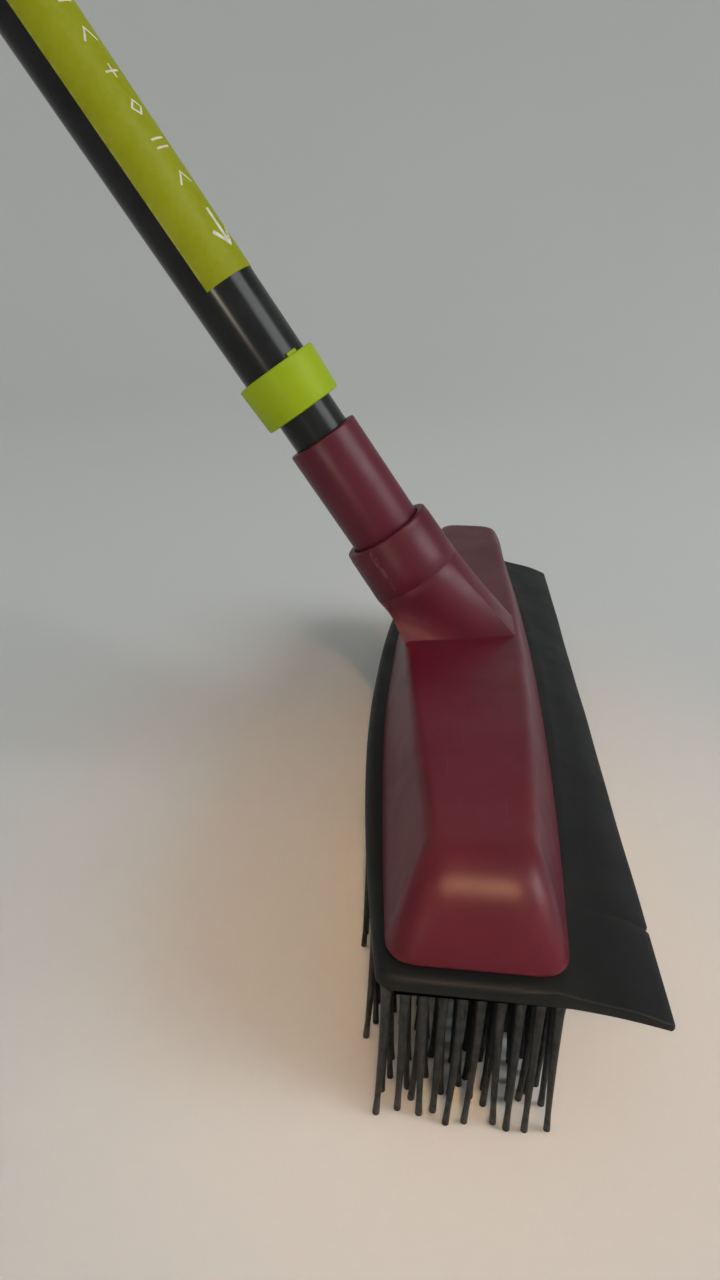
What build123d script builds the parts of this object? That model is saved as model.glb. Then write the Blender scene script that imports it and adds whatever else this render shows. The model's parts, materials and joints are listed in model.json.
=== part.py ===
from build123d import *

import os
from math import cos, hypot, radians, sin

# Rubber broom: a moulded head with a sloping handle socket, a moulded rubber pad with tapered
# bristles and a squeegee edge, and a telescopic tube handle with an eccentric twist lock.
#
# Frame, in millimetres: the origin is the tip of the bristle beside the middle of the head,
# +X runs along the head, +Y is the squeegee's side, +Z is up, and the handle leans towards -Y.

# ---- head: lengths along X, widths along Y, heights along Z
MID_Y = -2.0  # the head's middle plane
BRISTLE_LENGTH = 38.6
PAD_THICK = 4.0
SHELL_HEIGHT = 21.2
WALL = 2.2
DECK_Z = BRISTLE_LENGTH + PAD_THICK
TOP_Z = DECK_Z + SHELL_HEIGHT

PAD_HALF = 143.0
PAD_LEFT = (32.3, 20.0)  # half width at the middle and at the ends, away from the squeegee
PAD_RIGHT = (29.3, 19.8)  # the same on the squeegee's side
PAD_CORNER = 3.5
PAD_KNEE = 10.0
PAD_BULGE = 2.6
PAD_ROLL = 2.6  # rounding of the pad's upper edge

SQUEEGEE_REACH = 40.3  # from the middle plane to the tip
SQUEEGEE_TIP_Z = 35.1
SQUEEGEE_TIP_THICK = 1.3
SQUEEGEE_ROOT = 6.0  # how far its root lies inside the pad's edge
SQUEEGEE_BREAK = 3.0  # where its top leaves the pad's top, in from the pad's edge

BASE_HALF = 139.7
BASE_LEFT = (27.1, 18.6)
BASE_RIGHT = (24.2, 19.6)
BASE_CORNER = 6.0
BASE_KNEE = 21.0
BASE_BULGE = 1.1

CREST_HALF = 127.2
CREST_LEFT = (21.8, 10.6)
CREST_RIGHT = (15.9, 11.6)
CREST_CORNER = 3.6
CREST_KNEE = 19.0
CREST_BULGE = 0.3
CREST_ROUND = 2.4

RIB_THICK = 1.6
RIB_X = (-98.0, -68.0, -30.0, 30.0, 68.0, 98.0)

# ---- bristles
BRISTLE_PITCH_X = 5.0
BRISTLE_PITCH_Y = 4.0
BRISTLE_ROOT_R = 1.15
BRISTLE_TIP_R = 0.65
BRISTLE_INSET = 1.4
BRISTLE_COLUMNS = range(-8, 7)
WEB_HEIGHT = 0.6
WEB_WIDTH = 2.6

# ---- backing plate, its rubber plugs and its screws
PLATE_THICK = 2.2
PLATE_GAP = 1.7
PLATE_TOP = DECK_Z + PLATE_THICK
SCREW_AT = [(x, MID_Y) for x in (-112.0, -45.0, 45.0, 112.0)]
SCREW_R = 1.3
SCREW_HOLE_R = 1.8
SCREW_DRIVE_R = 1.4
SCREW_HEAD_R = 3.4
SCREW_HEAD_H = 2.0
SCREW_LENGTH = 12.0
PILOT_R = 1.35
PILOT_DEPTH = 11.5
BOSS_R = 3.6
WELL_R = 4.2
PLUG_AT = [(x, MID_Y + y) for x in (-84.0, -14.0, 14.0, 84.0) for y in (-11.0, 9.0)]
PLUG_R = 2.4
PLUG_HOLE_R = 2.6
PLUG_HEAD_R = 3.3
PLUG_HEAD_H = 1.6
RIB_FLOOR = PLATE_TOP + PLUG_HEAD_H + 0.9

# ---- handle: stations are distances along its axis from where the axis meets the head's top
LEAN = 35.6
FOOT = Vector(0, MID_Y - 7.96, TOP_Z)
AXIS = Vector(0, -sin(radians(LEAN)), cos(radians(LEAN)))

FLARE_LEFT_X = 20.0  # half length of the socket's foot at the crest's left ridge
FLARE_RIGHT_X = 9.0  # the same at the right ridge
FLARE_TOP = 20.7
FLARE_SINK = 0.6
FLARE_CORNER = 1.5
SOCKET_R = 15.6
MOUTH = 39.1
MOUTH_R = 15.15
MOUTH_LIP = 0.9
MOUTH_BORE_R = 12.35
MOUTH_FLOOR = 31.0
THREAD_BORE_R = 9.9
THREAD_FLOOR = 8.5
CORE_R = 9.0
CORE_TOP = 4.5

THREAD_PITCH = 5.08
THREAD_TURNS = 3.4
THREAD_ROOT_R = 7.9
THREAD_CREST_R = 9.5
THREAD_ROOT_WIDTH = 3.0
THREAD_CREST_WIDTH = 1.5
THREAD_SINK = 0.3  # how far the thread's profile is let into its core
THREAD_START = 11.7
TIP_END = 10.0
TIP_TOP = 60.0
TIP_CORE_R = 4.5
TIP_ROOF = 3.0

FERRULE_R = 12.0
FERRULE_BASE = 31.3
FERRULE_TOP = 75.8
FERRULE_ROUND = 0.6

TUBE_WALL = 0.6
LOWER_R = 9.5
LOWER_BASE = 35.7
LOWER_TOP = 752.0
UPPER_R = 11.0
UPPER_BASE = 88.5
UPPER_TOP = 808.5
TURN_GAP = 0.06  # radial clearance of the turning and sliding fits
PRESS_GAP = 0.04  # radial clearance drawn at the pressed fits

COLLAR_BASE = 85.7
COLLAR_TOP = 101.2
COLLAR_BASE_R = 13.0
COLLAR_TOP_R = 13.6
COLLAR_LUG_TURN = 47.0
COLLAR_LUG = (1.0, 3.4, 2.2)  # thick, wide, high
COLLAR_LUG_R = 11.65
COLLAR_ROUND = 0.8

LABEL_BASE = 129.0
LABEL_LENGTH = 260.0
LABEL_FROM = -9.0
LABEL_SWEEP = 148.0
LABEL_THICK = 0.15

LOCK_OFFSET = 0.35  # the journal's axis from the tube's axis
JOURNAL_R = 6.0
SPINDLE_PLUG = 30.0
SPINDLE_FLANGE = 4.0
CAM_HEIGHT = 19.0
CAM_PLAY = 0.3
CAM_SLIT = 3.0

CAP_R = 11.9
CAP_PLUG = 24.0
CAP_TOP = 842.0
CAP_EYE = 829.0
CAP_EYE_R = 4.5
CAP_FLAT = 12.0
CAP_FLAT_FROM = 818.5
CAP_DOME_FROM = CAP_TOP - CAP_R
CAP_EYE_CHAMFER = 0.5

os.makedirs("parts", exist_ok=True)

handle_axis = Axis(FOOT, AXIS)
meridian = Plane(origin=FOOT, x_dir=(1, 0, 0), z_dir=Vector(1, 0, 0).cross(AXIS))
UPPER_BORE_R = UPPER_R - TUBE_WALL
LOWER_BORE_R = LOWER_R - TUBE_WALL


def station(distance):
    """The plane square to the handle at this distance along it; its X is the head's X."""
    return Plane(origin=FOOT + AXIS * distance, x_dir=(1, 0, 0), z_dir=AXIS)


def finish(builder, name):
    """Label a finished piece and write it."""
    builder.part.label = name
    export_step(builder.part, f"parts/{name}.step")


def outline(half, left, right, corner, knee, bulge, inset):
    """A long outline with a flat-topped left side, a bowed right side and rounded corners."""
    end = half - inset
    left_mid, left_end = MID_Y - left[0] + inset, MID_Y - left[1] + inset
    right_mid, right_end = MID_Y + right[0] - inset, MID_Y + right[1] - inset
    mid_x, mid_y = (end + knee) / 2, (left_mid + left_end) / 2 - bulge
    with BuildSketch() as face:
        with BuildLine():
            ThreePointArc((-end, left_end), (-mid_x, mid_y), (-knee, left_mid))
            Line((-knee, left_mid), (knee, left_mid))
            ThreePointArc((knee, left_mid), (mid_x, mid_y), (end, left_end))
            Line((end, left_end), (end, right_end))
            ThreePointArc((end, right_end), (0, right_mid), (-end, right_end))
            Line((-end, right_end), (-end, left_end))
        make_face()
        corners = [v for v in face.vertices() if abs(abs(v.X) - end) < 0.01]
        fillet(corners, max(corner - inset, 0.8))
    return face.sketch


def base_outline(inset=0.0):
    """The shell's lower edge, or the same line moved in."""
    return outline(BASE_HALF, BASE_LEFT, BASE_RIGHT, BASE_CORNER, BASE_KNEE, BASE_BULGE, inset)


def crest_outline(inset=0.0):
    """The shell's flat top, or the same line moved in."""
    return outline(CREST_HALF, CREST_LEFT, CREST_RIGHT, CREST_CORNER, CREST_KNEE, CREST_BULGE, inset)


def polygon(points):
    """A closed flat shape with straight sides."""
    with BuildSketch() as face:
        with BuildLine():
            Polyline(*points, close=True)
        make_face()
    return face.sketch


# ---- the shell's hollow: what the ribs, bosses and walls leave free
with BuildPart() as hollow:
    with BuildSketch(Plane.XY.offset(DECK_Z)):
        add(base_outline(WALL))
    with BuildSketch(Plane.XY.offset(TOP_Z - WALL)):
        add(crest_outline(WALL))
    loft(ruled=True)
    with BuildSketch(Plane.XY.offset(RIB_FLOOR)):
        with Locations(*[(x, MID_Y) for x in RIB_X]):
            Rectangle(RIB_THICK, 2 * PAD_LEFT[0])
    extrude(amount=SHELL_HEIGHT, mode=Mode.SUBTRACT)
    with BuildSketch(Plane.XY.offset(PLATE_TOP)):
        with Locations(*SCREW_AT):
            Circle(BOSS_R)
    extrude(amount=SHELL_HEIGHT, mode=Mode.SUBTRACT)

# ---- head shell, with the socket moulded on
with BuildPart() as head_shell:
    with BuildSketch(Plane.XY.offset(DECK_Z)):
        add(base_outline())
    with BuildSketch(Plane.XY.offset(TOP_Z)):
        add(crest_outline())
    loft(ruled=True)
    fillet(head_shell.edges().group_by(Axis.Z)[-1], CREST_ROUND)
    with BuildSketch(Plane.XY.offset(TOP_Z - FLARE_SINK)) as foot:
        add(
            polygon(
                [
                    (-FLARE_LEFT_X, MID_Y - CREST_LEFT[0]),
                    (FLARE_LEFT_X, MID_Y - CREST_LEFT[0]),
                    (FLARE_RIGHT_X, MID_Y + CREST_RIGHT[0] - FLARE_SINK),
                    (-FLARE_RIGHT_X, MID_Y + CREST_RIGHT[0] - FLARE_SINK),
                ]
            )
        )
        fillet(foot.vertices(), FLARE_CORNER)
    with BuildSketch(station(FLARE_TOP)):
        Circle(SOCKET_R)
    loft()
    with BuildSketch(meridian):
        add(
            polygon(
                [
                    (0, FLARE_TOP),
                    (SOCKET_R, FLARE_TOP),
                    (MOUTH_R, MOUTH - MOUTH_LIP),
                    (MOUTH_R - MOUTH_LIP, MOUTH),
                    (0, MOUTH),
                ]
            )
        )
    revolve(axis=handle_axis)
    add(hollow.part, mode=Mode.SUBTRACT)
    with BuildSketch(station(MOUTH_FLOOR)):
        Circle(MOUTH_BORE_R)
    extrude(amount=MOUTH - MOUTH_FLOOR, mode=Mode.SUBTRACT)
    with BuildSketch(station(THREAD_FLOOR)):
        Circle(THREAD_BORE_R)
    extrude(amount=MOUTH_FLOOR - THREAD_FLOOR, mode=Mode.SUBTRACT)
    with BuildSketch(station(CORE_TOP)):
        Circle(CORE_R)
    extrude(amount=-CORE_TOP - CORE_R, mode=Mode.SUBTRACT)
    with BuildSketch(Plane.XY.offset(PLATE_TOP)):
        with Locations(*SCREW_AT):
            Circle(PILOT_R)
    extrude(amount=PILOT_DEPTH, mode=Mode.SUBTRACT)
finish(head_shell, "head_shell")

# ---- backing plate, inside the shell's rim on top of the pad
with BuildPart() as backing_plate:
    with BuildSketch(Plane.XY.offset(DECK_Z)):
        add(base_outline(WALL + PLATE_GAP))
        with Locations(*SCREW_AT):
            Circle(SCREW_HOLE_R, mode=Mode.SUBTRACT)
        with Locations(*PLUG_AT):
            Circle(PLUG_HOLE_R, mode=Mode.SUBTRACT)
    extrude(amount=PLATE_THICK)
finish(backing_plate, "backing_plate")

# ---- the screws that hold the plate to the shell's bosses, driven from below through the pad
with BuildPart() as plate_screws:
    with BuildSketch(Plane.XY.offset(DECK_Z - SCREW_HEAD_H)):
        with Locations(*SCREW_AT):
            Circle(SCREW_HEAD_R)
    extrude(amount=SCREW_HEAD_H)
    with BuildSketch(Plane.XY.offset(DECK_Z)):
        with Locations(*SCREW_AT):
            Circle(SCREW_R)
    extrude(amount=SCREW_LENGTH)
    with BuildSketch(Plane.XY.offset(DECK_Z - SCREW_HEAD_H)):
        with Locations(*SCREW_AT):
            RegularPolygon(SCREW_DRIVE_R, 6)
    extrude(amount=SCREW_HEAD_H / 2, mode=Mode.SUBTRACT)
finish(plate_screws, "plate_screws")


def pad_outline():
    """The pad's edge."""
    return outline(PAD_HALF, PAD_LEFT, PAD_RIGHT, PAD_CORNER, PAD_KNEE, PAD_BULGE, 0)


def pad_side(widths, x):
    """The pad's half width at this station along the head."""
    middle, end = widths
    return middle - (middle - end) * (x / PAD_HALF) ** 2


def squeegee_section(x):
    """The squeegee's cross-section in Y and Z at this station along the head."""
    edge = MID_Y + pad_side(PAD_RIGHT, x)
    tip = MID_Y + SQUEEGEE_REACH
    return polygon(
        [
            (edge - SQUEEGEE_ROOT, BRISTLE_LENGTH),
            (edge, BRISTLE_LENGTH),
            (tip, SQUEEGEE_TIP_Z),
            (tip, SQUEEGEE_TIP_Z + SQUEEGEE_TIP_THICK),
            (edge - SQUEEGEE_BREAK, DECK_Z),
            (edge - SQUEEGEE_ROOT, DECK_Z),
        ]
    )


# ---- rubber pad, with the squeegee along one side and the plugs that key it to the plate
with BuildPart() as rubber_pad:
    with BuildSketch(Plane.XY.offset(BRISTLE_LENGTH)):
        add(pad_outline())
    extrude(amount=PAD_THICK)
    fillet(rubber_pad.edges().group_by(Axis.Z)[-1], PAD_ROLL)
    for x in (-PAD_HALF, 0, PAD_HALF):
        with BuildSketch(Plane.YZ.offset(x)):
            add(squeegee_section(x))
    loft()
    with BuildSketch(Plane.XY.offset(DECK_Z)):
        with Locations(*PLUG_AT):
            Circle(PLUG_R)
    extrude(amount=PLATE_THICK)
    with BuildSketch(Plane.XY.offset(PLATE_TOP)):
        with Locations(*PLUG_AT):
            Circle(PLUG_HEAD_R)
    extrude(amount=PLUG_HEAD_H)
    with BuildSketch(Plane.XY.offset(BRISTLE_LENGTH)):
        with Locations(*SCREW_AT):
            Circle(WELL_R)
    extrude(amount=PAD_THICK, mode=Mode.SUBTRACT)
finish(rubber_pad, "rubber_pad")


def bristle_places(y):
    """Where the bristles of one column stand along the head, clear of the pad's edge and the wells."""
    count = int(PAD_HALF // BRISTLE_PITCH_X)
    places = []
    for x in [BRISTLE_PITCH_X * i for i in range(-count, count + 1)]:
        left = MID_Y - pad_side(PAD_LEFT, x) + BRISTLE_INSET
        right = MID_Y + pad_side(PAD_RIGHT, x) - BRISTLE_INSET
        clear = all(hypot(x - sx, y - sy) > WELL_R + BRISTLE_ROOT_R for sx, sy in SCREW_AT)
        if left <= y <= right and clear and abs(x) < PAD_HALF - BRISTLE_INSET:
            places.append(x)
    return places


def comb(y):
    """One column of tapered bristles, joined at their roots by a low web."""
    places = bristle_places(y)
    with BuildPart() as column:
        with BuildSketch(Plane.XY.offset(BRISTLE_LENGTH - WEB_HEIGHT)):
            with Locations(((places[0] + places[-1]) / 2, y)):
                Rectangle(places[-1] - places[0], WEB_WIDTH)
            with Locations(*SCREW_AT):
                Circle(WELL_R, mode=Mode.SUBTRACT)
        extrude(amount=WEB_HEIGHT)
        with Locations(*[(x, y, 0) for x in places]):
            Cone(
                BRISTLE_TIP_R,
                BRISTLE_ROOT_R,
                BRISTLE_LENGTH - WEB_HEIGHT / 2,
                align=(Align.CENTER, Align.CENTER, Align.MIN),
            )
    return column.part


# ---- bristles, in columns along the head
with BuildPart() as bristles:
    for column_index in BRISTLE_COLUMNS:
        add(comb(BRISTLE_PITCH_Y * column_index))
finish(bristles, "bristles")

# ---- ferrule: the sleeve over the end of the lower tube
with BuildPart() as ferrule:
    with BuildSketch(station(FERRULE_BASE)):
        Circle(FERRULE_R)
        Circle(LOWER_R + TURN_GAP, mode=Mode.SUBTRACT)
    extrude(amount=FERRULE_TOP - FERRULE_BASE)
    rims = ferrule.edges().filter_by(GeomType.CIRCLE).sort_by(lambda e: e.radius)[-2:]
    fillet(rims, FERRULE_ROUND)
finish(ferrule, "ferrule")

# ---- threaded tip, pressed into the lower tube, with the screw thread that enters the socket
with BuildPart() as threaded_tip:
    with BuildSketch(meridian):
        add(
            polygon(
                [
                    (TIP_CORE_R, TIP_END),
                    (THREAD_ROOT_R, TIP_END),
                    (THREAD_ROOT_R, FERRULE_BASE),
                    (LOWER_R, FERRULE_BASE),
                    (LOWER_R, LOWER_BASE),
                    (LOWER_BORE_R - PRESS_GAP, LOWER_BASE),
                    (LOWER_BORE_R - PRESS_GAP, TIP_TOP),
                    (0, TIP_TOP),
                    (0, TIP_TOP - TIP_ROOF),
                    (TIP_CORE_R, TIP_TOP - TIP_ROOF),
                ]
            )
        )
    revolve(axis=handle_axis)
    thread_foot = FOOT + AXIS * THREAD_START
    with BuildLine():
        thread_line = Helix(
            THREAD_PITCH, THREAD_TURNS * THREAD_PITCH, THREAD_ROOT_R, center=thread_foot, direction=AXIS
        )
    thread_out = (thread_line @ 0 - thread_foot).normalized()
    with BuildSketch(Plane(origin=thread_line @ 0, x_dir=thread_out, z_dir=thread_line % 0)):
        add(
            polygon(
                [
                    (-THREAD_SINK, -THREAD_ROOT_WIDTH / 2),
                    (THREAD_CREST_R - THREAD_ROOT_R, -THREAD_CREST_WIDTH / 2),
                    (THREAD_CREST_R - THREAD_ROOT_R, THREAD_CREST_WIDTH / 2),
                    (-THREAD_SINK, THREAD_ROOT_WIDTH / 2),
                ]
            )
        )
    sweep(path=thread_line, is_frenet=True)
finish(threaded_tip, "threaded_tip")

# ---- lower tube
with BuildPart() as lower_tube:
    with BuildSketch(station(LOWER_BASE)):
        Circle(LOWER_R)
        Circle(LOWER_BORE_R, mode=Mode.SUBTRACT)
    extrude(amount=LOWER_TOP - LOWER_BASE)
finish(lower_tube, "lower_tube")

# ---- lock spindle, pressed into the top of the lower tube, with the journal off its centre
JOURNAL_BASE = LOWER_TOP + SPINDLE_FLANGE
JOURNAL_TOP = JOURNAL_BASE + CAM_HEIGHT + 2 * CAM_PLAY
with BuildPart() as lock_spindle:
    with BuildSketch(station(LOWER_TOP - SPINDLE_PLUG)):
        Circle(LOWER_BORE_R - PRESS_GAP)
    extrude(amount=SPINDLE_PLUG)
    with BuildSketch(station(LOWER_TOP)):
        Circle(LOWER_R)
    extrude(amount=SPINDLE_FLANGE)
    with BuildSketch(station(JOURNAL_BASE)):
        with Locations((LOCK_OFFSET, 0)):
            Circle(JOURNAL_R)
    extrude(amount=JOURNAL_TOP - JOURNAL_BASE)
    with BuildSketch(station(JOURNAL_TOP)):
        Circle(LOWER_R)
    extrude(amount=SPINDLE_FLANGE)
finish(lock_spindle, "lock_spindle")

# ---- lock cam: the split ring on the journal, which grips the upper tube's bore
with BuildPart() as lock_cam:
    with BuildSketch(station(JOURNAL_BASE + CAM_PLAY)):
        Circle(UPPER_BORE_R - TURN_GAP)
        with Locations((LOCK_OFFSET, 0)):
            Circle(JOURNAL_R + TURN_GAP, mode=Mode.SUBTRACT)
        Rectangle(UPPER_R, CAM_SLIT, align=(Align.MAX, Align.CENTER), mode=Mode.SUBTRACT)
    extrude(amount=CAM_HEIGHT)
finish(lock_cam, "lock_cam")

# ---- upper tube
with BuildPart() as upper_tube:
    with BuildSketch(station(UPPER_BASE)):
        Circle(UPPER_R)
        Circle(UPPER_BORE_R, mode=Mode.SUBTRACT)
    extrude(amount=UPPER_TOP - UPPER_BASE)
finish(upper_tube, "upper_tube")

# ---- collar on the upper tube's lower end, with a locating lug above its top edge
with BuildPart() as tube_collar:
    with BuildSketch(meridian):
        add(
            polygon(
                [
                    (UPPER_BORE_R, COLLAR_BASE),
                    (COLLAR_BASE_R, COLLAR_BASE),
                    (COLLAR_TOP_R, COLLAR_TOP),
                    (UPPER_R + PRESS_GAP, COLLAR_TOP),
                    (UPPER_R + PRESS_GAP, UPPER_BASE),
                    (UPPER_BORE_R, UPPER_BASE),
                ]
            )
        )
    revolve(axis=handle_axis)
    rims = tube_collar.edges().filter_by(GeomType.CIRCLE).sort_by(lambda e: e.radius)[-2:]
    fillet(rims, COLLAR_ROUND)
    lug_thick, lug_wide, lug_high = COLLAR_LUG
    with BuildSketch(station(COLLAR_TOP - lug_high / 2)):
        with PolarLocations(COLLAR_LUG_R, 1, start_angle=COLLAR_LUG_TURN):
            Rectangle(lug_thick, lug_wide)
    extrude(amount=lug_high)
finish(tube_collar, "tube_collar")

# ---- label: a film round part of the upper tube
with BuildPart() as grip_label:
    with BuildSketch(station(LABEL_BASE)):
        with BuildLine():
            inner = CenterArc((0, 0), UPPER_R + PRESS_GAP, LABEL_FROM, LABEL_SWEEP)
            outer = CenterArc((0, 0), UPPER_R + PRESS_GAP + LABEL_THICK, LABEL_FROM, LABEL_SWEEP)
            Line(inner @ 0, outer @ 0)
            Line(inner @ 1, outer @ 1)
        make_face()
    extrude(amount=LABEL_LENGTH)
finish(grip_label, "grip_label")

# ---- hanging cap in the upper tube's end: a plug, a domed head with two flats, and an eye
with BuildPart() as hang_cap:
    plug_r = UPPER_BORE_R - PRESS_GAP
    with BuildSketch(meridian):
        with BuildLine():
            Polyline(
                (0, CAP_TOP),
                (0, UPPER_TOP - CAP_PLUG),
                (plug_r, UPPER_TOP - CAP_PLUG),
                (plug_r, UPPER_TOP),
                (CAP_R, UPPER_TOP),
                (CAP_R, CAP_DOME_FROM),
            )
            CenterArc((0, CAP_DOME_FROM), CAP_R, 0, 90)
        make_face()
    revolve(axis=handle_axis)
    with BuildSketch(station(CAP_FLAT_FROM)):
        with Locations((-CAP_R, 0), (CAP_R, 0)):
            Rectangle(2 * CAP_R - CAP_FLAT, 3 * CAP_R)
    extrude(amount=CAP_TOP - CAP_FLAT_FROM, mode=Mode.SUBTRACT)
    with BuildSketch(Plane(origin=FOOT + AXIS * CAP_EYE, x_dir=AXIS, z_dir=(1, 0, 0))):
        Circle(CAP_EYE_R)
    extrude(amount=CAP_FLAT, both=True, mode=Mode.SUBTRACT)
    eye_rims = hang_cap.edges().filter_by(GeomType.CIRCLE).filter_by(
        lambda e: abs(e.radius - CAP_EYE_R) < 0.01
    )
    chamfer(eye_rims, CAP_EYE_CHAMFER)
finish(hang_cap, "hang_cap")
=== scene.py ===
import json
from math import cos, pi, radians, sin

import bmesh
import bpy
from mathutils import Matrix, Vector


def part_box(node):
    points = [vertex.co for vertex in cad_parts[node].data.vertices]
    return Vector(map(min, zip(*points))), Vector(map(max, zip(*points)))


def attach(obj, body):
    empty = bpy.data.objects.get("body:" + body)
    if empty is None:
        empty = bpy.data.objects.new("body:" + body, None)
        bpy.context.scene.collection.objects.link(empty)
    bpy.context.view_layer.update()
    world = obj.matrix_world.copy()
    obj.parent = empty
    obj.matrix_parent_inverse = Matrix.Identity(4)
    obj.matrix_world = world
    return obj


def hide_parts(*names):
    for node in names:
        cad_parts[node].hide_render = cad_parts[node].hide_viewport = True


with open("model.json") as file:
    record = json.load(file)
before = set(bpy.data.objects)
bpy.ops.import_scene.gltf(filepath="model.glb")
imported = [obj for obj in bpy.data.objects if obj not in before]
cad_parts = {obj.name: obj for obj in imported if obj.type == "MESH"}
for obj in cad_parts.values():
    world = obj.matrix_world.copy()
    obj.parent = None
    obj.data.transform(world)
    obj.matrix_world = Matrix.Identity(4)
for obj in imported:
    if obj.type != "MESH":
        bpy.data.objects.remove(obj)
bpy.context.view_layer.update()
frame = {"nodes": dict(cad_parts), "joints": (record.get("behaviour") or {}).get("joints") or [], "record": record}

# Rubber broom with a squeegee edge on a twist-lock telescopic handle. Metres; the origin is the
# tip of a bristle beside the middle of the head, +X along the head, +Y the squeegee's side.

JOINTS = {joint["name"]: joint for joint in frame["joints"]}
MOUNTS = {mount["name"]: mount for mount in frame["record"]["mounts"]}


# ---------------------------------------------------------------- camera, floor and light
CAMERA_AT = (0.277008, -0.014082, 0.174630)
CAMERA_RIGHT = (-0.102909, 0.994502, 0.019373)
CAMERA_DOWN = (0.390863, 0.058340, -0.918598)
CAMERA_AHEAD = (-0.914678, -0.086959, -0.394718)
CAMERA_LENS = 24.209  # millimetres on a sensor 36 mm along its long side

FLOOR_FLAT = 0.95  # radius of the flat floor
FLOOR_BEND = 2.4  # radius of its turn up into the wall
FLOOR_WALL = 2.5  # height of the wall above the turn
FLOOR_GAP = 0.0004  # how far the floor lies below the bristle tips


def make_camera():
    """The camera, looking along the head from its near end and a little above it."""
    data = bpy.data.cameras.new("camera")
    data.lens = CAMERA_LENS
    data.sensor_width = 36.0
    data.clip_start = 0.005
    camera = bpy.data.objects.new("camera", data)
    bpy.context.scene.collection.objects.link(camera)
    right, down, ahead = Vector(CAMERA_RIGHT), Vector(CAMERA_DOWN), Vector(CAMERA_AHEAD)
    turn = Matrix((right, -down, -ahead)).transposed().to_4x4()
    camera.matrix_world = Matrix.Translation(CAMERA_AT) @ turn
    bpy.context.scene.camera = camera


def area_light(name, place, target, size, power, colour, spread=180):
    """A square soft light facing a target."""
    data = bpy.data.lights.new(name, "AREA")
    data.size = size
    data.energy = power
    data.spread = radians(spread)
    data.color = colour
    light = bpy.data.objects.new(name, data)
    bpy.context.scene.collection.objects.link(light)
    light.location = place
    light.rotation_mode = "QUATERNION"
    light.rotation_quaternion = (Vector(target) - Vector(place)).to_track_quat("-Z", "Y")


def make_lights():
    """A cool window light from the squeegee's side, a broad ceiling light, a wash on the far wall,
    two small warm lamps and a dim even room light."""
    area_light("window", (0.9, 2.7, 1.6), (0, 0, 0.05), 2.0, 80, (0.94, 0.96, 0.98))
    area_light("ceiling", (1.3, 0.3, 1.9), (0, 0, 0), 1.6, 4, (1.0, 0.98, 0.95))
    area_light("wall_wash", (-0.6, 0.0, 2.1), (-2.6, 0, 0.7), 1.2, 1.2, (1.0, 0.99, 0.96))
    area_light("lamp_high", (1.3, 0.08, 1.2), (0.13, 0, 0.05), 0.20, 0.075, (1.0, 0.58, 0.28), 8)
    area_light(
        "lamp_low", (0.80, -0.25, 0.07), (0, -0.08, 0.15), 0.03, 0.022, (1.0, 0.86, 0.68), 26
    )
    world = bpy.data.worlds.new("room")
    world.use_nodes = True
    world.node_tree.nodes["Background"].inputs["Color"].default_value = (0.88, 0.87, 0.83, 1)
    world.node_tree.nodes["Background"].inputs["Strength"].default_value = 0.27
    bpy.context.scene.world = world


# ---------------------------------------------------------------- building materials
class Web:
    """A node tree with short calls that add a node, set its inputs and link them."""

    def __init__(self, tree):
        self.tree = tree

    def add(self, kind, values=None, **settings):
        made = self.tree.nodes.new(kind)
        for name, value in settings.items():
            setattr(made, name, value)
        for name, value in (values or {}).items():
            if isinstance(value, bpy.types.NodeSocket):
                self.tree.links.new(value, made.inputs[name])
            else:
                made.inputs[name].default_value = value
        return made

    def maths(self, operation, first, second=0.0, clamp=False):
        return self.add(
            "ShaderNodeMath", {0: first, 1: second}, operation=operation, use_clamp=clamp
        ).outputs[0]

    def noise(self, where, scale, detail=3.0, roughness=0.55, out="Fac"):
        return self.add(
            "ShaderNodeTexNoise",
            {"Vector": where, "Scale": scale, "Detail": detail, "Roughness": roughness},
        ).outputs[out]

    def ramp(self, value, low, high, smooth=True):
        """0 below low, 1 above high."""
        kind = "SMOOTHSTEP" if smooth else "LINEAR"
        return self.add(
            "ShaderNodeMapRange",
            {"Value": value, "From Min": low, "From Max": high},
            interpolation_type=kind,
        ).outputs[0]

    def mix(self, factor, first, second, blend="MIX"):
        made = self.add("ShaderNodeMix", {"Factor": factor}, data_type="RGBA", blend_type=blend)
        for index, value in ((6, first), (7, second)):
            if isinstance(value, bpy.types.NodeSocket):
                self.tree.links.new(value, made.inputs[index])
            else:
                made.inputs[index].default_value = (*value, 1)[:4]
        return made.outputs[2]

    def place(self):
        return self.add("ShaderNodeTexCoord").outputs["Object"]


def effect(name, inputs, outputs):
    """An empty shader node group with float inputs; outputs are (name, kind) pairs."""
    tree = bpy.data.node_groups.new(name, "ShaderNodeTree")
    for label, value in inputs:
        tree.interface.new_socket(label, in_out="INPUT", socket_type="NodeSocketFloat").default_value = value
    for label, kind in outputs:
        tree.interface.new_socket(label, in_out="OUTPUT", socket_type=kind)
    web = Web(tree)
    source = web.add("NodeGroupInput")
    sink = web.add("NodeGroupOutput")
    return tree, web, source.outputs, sink


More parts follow.
